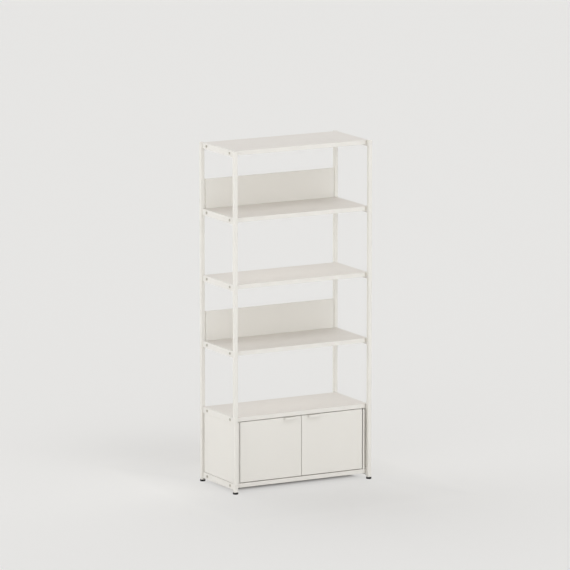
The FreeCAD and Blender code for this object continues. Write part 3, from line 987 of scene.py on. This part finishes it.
@dataclass
class Studio:
    """Pale floor, soft light and the camera.

    Attributes:
        backdrop: colour that the camera sees behind everything.
        floor_colour: the floor as the camera sees it.
        floor_bounce: the far floor as the light on the part sees it.
        floor_near: the near floor as the light on the part sees it, darker as painted shade on the
            part's lower faces.
        near_reach: distances over which the near floor turns into the far one.
        floor_reach: half the size of the floor.
        horizon: strength of the dome at the horizon, none overhead.
        glows: brighter patches of the dome.
        foot_half: half the size of the footprint along X and Y.
        foot_steep: factor on the distance past the footprint's edge along X and Y.
        lift_colour: colour of the painted glow that the contact shadow is lifted towards.
        lift: most that it is lifted, round the footprint.
        lift_core: how much it is lifted deep under the base.
        lift_inner: distances past the edge, negative inside it, over which the lift grows.
        lift_outer: distances past the edge over which the lift fades out.
        camera_place: place of the camera.
        camera_turn: its turn about X, Y and Z in degrees.
        lens: its focal length in millimetres.
        sensor: width of its sensor in millimetres.
        far_clip: distance that it sees to.
    """

    backdrop: Tint = Tint(230, 229, 227)
    floor_colour: tuple[float, float, float, float] = (0.872, 0.864, 0.848, 1.0)
    floor_bounce: tuple[float, float, float, float] = (0.915, 0.906, 0.889, 1.0)
    floor_near: tuple[float, float, float, float] = (0.74, 0.73, 0.715, 1.0)
    near_reach: tuple[float, float] = (0.6, 2.2)
    floor_reach: float = 140.0
    horizon: float = 1.42
    glows: tuple[Glow, ...] = (
        Glow((0.15, -0.55, 0.82), 80.0, 5.0),
        Glow((0.0, 1.0, 0.0), 1.0, 1.66),
        Glow((-1.0, -1.0, 0.3), 3.0, 0.96),
        Glow((0.0, -1.0, 0.0), 1.0, 0.42),
    )
    foot_half: tuple[float, float] = (0.40, 0.19)
    foot_steep: tuple[float, float] = (2.0, 1.0)
    lift_colour: Tint = Tint(223, 222, 220)
    lift: float = 0.75
    lift_core: float = 0.0
    lift_inner: tuple[float, float] = (-0.131, -0.071)
    lift_outer: tuple[float, float] = (0.05, 0.60)
    camera_place: tuple[float, float, float] = (-13.6572, -25.0652, 6.2821)
    camera_turn: tuple[float, float, float] = (79.5593, 0.0, -28.5759)
    lens: float = 357.287
    sensor: float = 36.0
    far_clip: float = 300.0

    def build(self) -> None:
        """Makes the floor, the light and the camera."""
        self._floor()
        self._light()
        self._camera()

    def _floor(self) -> None:
        """Wide floor that keeps the object's shadow."""
        work = bmesh.new()
        bmesh.ops.create_grid(work, x_segments=2, y_segments=2, size=self.floor_reach)
        mesh = bpy.data.meshes.new("studio_floor")
        work.to_mesh(mesh)
        work.free()
        floor = bpy.data.objects.new("studio_floor", mesh)
        bpy.context.scene.collection.objects.link(floor)
        mesh.materials.append(self._floor_material())

    def _floor_material(self) -> bpy.types.Material:
        """Matt floor with painted shade and painted light: its bounce colour is darker near the
        part, and a glow that the camera sees lifts the contact shadow round the footprint.

        Returns:
            The material.
        """
        material = bpy.data.materials.new("studio_floor")
        material.use_nodes = True
        shader = material.node_tree.nodes["Principled BSDF"]
        bench = Bench(material.node_tree)
        place = bench.put("ShaderNodeTexCoord").outputs["Object"]
        # Painted shade: the floor's bounce colour darkens near the part, so its lower faces get
        # less light.
        away = bench.put("ShaderNodeVectorMath", {0: place}, operation="LENGTH").outputs["Value"]
        far = bench.ranged(away, *self.near_reach, 0.0, 1.0)
        bounce = bench.mixed(far, self.floor_near, self.floor_bounce)
        camera_ray = bench.put("ShaderNodeLightPath").outputs["Is Camera Ray"]
        bench.feed(shader.inputs["Base Color"], bench.mixed(camera_ray, bounce, self.floor_colour))
        shader.inputs["Roughness"].default_value = 1.0
        shader.inputs["Specular IOR Level"].default_value = 0.0
        # Painted light: an emission seen by the camera, also in reflections, lifts the contact
        # shadow round the footprint.
        glow = bench.put("ShaderNodeEmission", {"Color": self.lift_colour.linear()})
        share = bench.computed("MULTIPLY", self._seen(bench), self._lift(bench, place))
        blend = bench.put("ShaderNodeMixShader",
                          {0: share, 1: shader.outputs[0], 2: glow.outputs[0]})
        surface = material.node_tree.nodes["Material Output"].inputs["Surface"]
        bench.feed(surface, blend.outputs[0])
        return material

    @staticmethod
    def _seen(bench: Bench) -> Socket:
        """Mask of what the camera sees, also in a reflection or through glass.

        Args:
            bench: bench of the tree.

        Returns:
            The mask's socket.
        """
        path = bench.put("ShaderNodeLightPath").outputs
        seen = bench.computed("MAXIMUM", path["Is Camera Ray"], path["Is Glossy Ray"])
        return bench.computed("MAXIMUM", seen, path["Is Transmission Ray"])

    def _lift(self, bench: Bench, place: Socket) -> Socket:
        """Share of the painted glow that lifts the contact shadow round the footprint.

        Args:
            bench: bench of the floor's material.
            place: coordinates of the floor.

        Returns:
            The share's socket.
        """
        flat = bench.put("ShaderNodeVectorMath", {0: place}, operation="ABSOLUTE")
        split = bench.put("ShaderNodeSeparateXYZ", {0: flat.outputs["Vector"]}).outputs
        beyond = [bench.computed("MULTIPLY", bench.computed("SUBTRACT", split[axis], half), steep)
                  for axis, half, steep in zip("XY", self.foot_half, self.foot_steep)]
        out = bench.computed("MAXIMUM", *beyond)
        inner = bench.ranged(out, *self.lift_inner, self.lift_core, self.lift)
        return bench.computed("MULTIPLY", inner, bench.ranged(out, *self.lift_outer, 1.0, 0.0))

    def _light(self) -> None:
        """Soft dome, brightest at the horizon and the glows, behind a plain backdrop."""
        world = bpy.data.worlds.new("studio")
        bpy.context.scene.world = world
        world.use_nodes = True
        world.node_tree.nodes.clear()
        bench = Bench(world.node_tree)
        way = bench.put("ShaderNodeTexCoord").outputs["Generated"]
        split = bench.put("ShaderNodeSeparateXYZ", {0: way}).outputs
        rise = bench.computed("MAXIMUM", split["Z"], 0.0)
        level = bench.computed("MULTIPLY", bench.computed("SUBTRACT", 1.0, rise), self.horizon)
        for glow in self.glows:
            ways = {0: way, 1: tuple(Vector(glow.way).normalized())}
            lean = bench.put("ShaderNodeVectorMath", ways, operation="DOT_PRODUCT")
            ahead = bench.computed("MAXIMUM", lean.outputs["Value"], 0.0)
            lobe = bench.computed("POWER", ahead, glow.power)
            level = bench.computed("ADD", level, bench.computed("MULTIPLY", lobe, glow.strength))
        dome = bench.put("ShaderNodeBackground", {"Strength": level})
        plain = bench.put("ShaderNodeBackground", {"Color": self.backdrop.linear()})
        mixed = bench.put("ShaderNodeMixShader", {
            0: self._seen(bench), 1: dome.outputs[0], 2: plain.outputs[0]})
        bench.put("ShaderNodeOutputWorld", {"Surface": mixed.outputs[0]})

    def _camera(self) -> None:
        """Camera at the photograph's angle."""
        lens = bpy.data.cameras.new("studio_camera")
        lens.lens = self.lens
        lens.sensor_width = self.sensor
        lens.clip_end = self.far_clip
        camera = bpy.data.objects.new("studio_camera", lens)
        camera.location = self.camera_place
        camera.rotation_euler = Euler([math.radians(angle) for angle in self.camera_turn])
        bpy.context.scene.collection.objects.link(camera)
        bpy.context.scene.camera = camera


def main() -> None:
    """Builds and dresses the bookcase in order, then the studio."""
    logging.basicConfig(level=logging.INFO, format="%(name)s %(message)s")
    bpy.context.scene.view_settings.view_transform = "Standard"
    shop = Workshop(Finishes(), FastenerTree())
    assemblies = [PostFrame(shop), Decks(shop), Cabinet(shop)]
    assemblies += [Door(shop, side) for side in Side]
    for assembly in assemblies:
        assembly.build()
        assembly.dress()
    Studio().build()


if __name__ == "__main__":
    main()
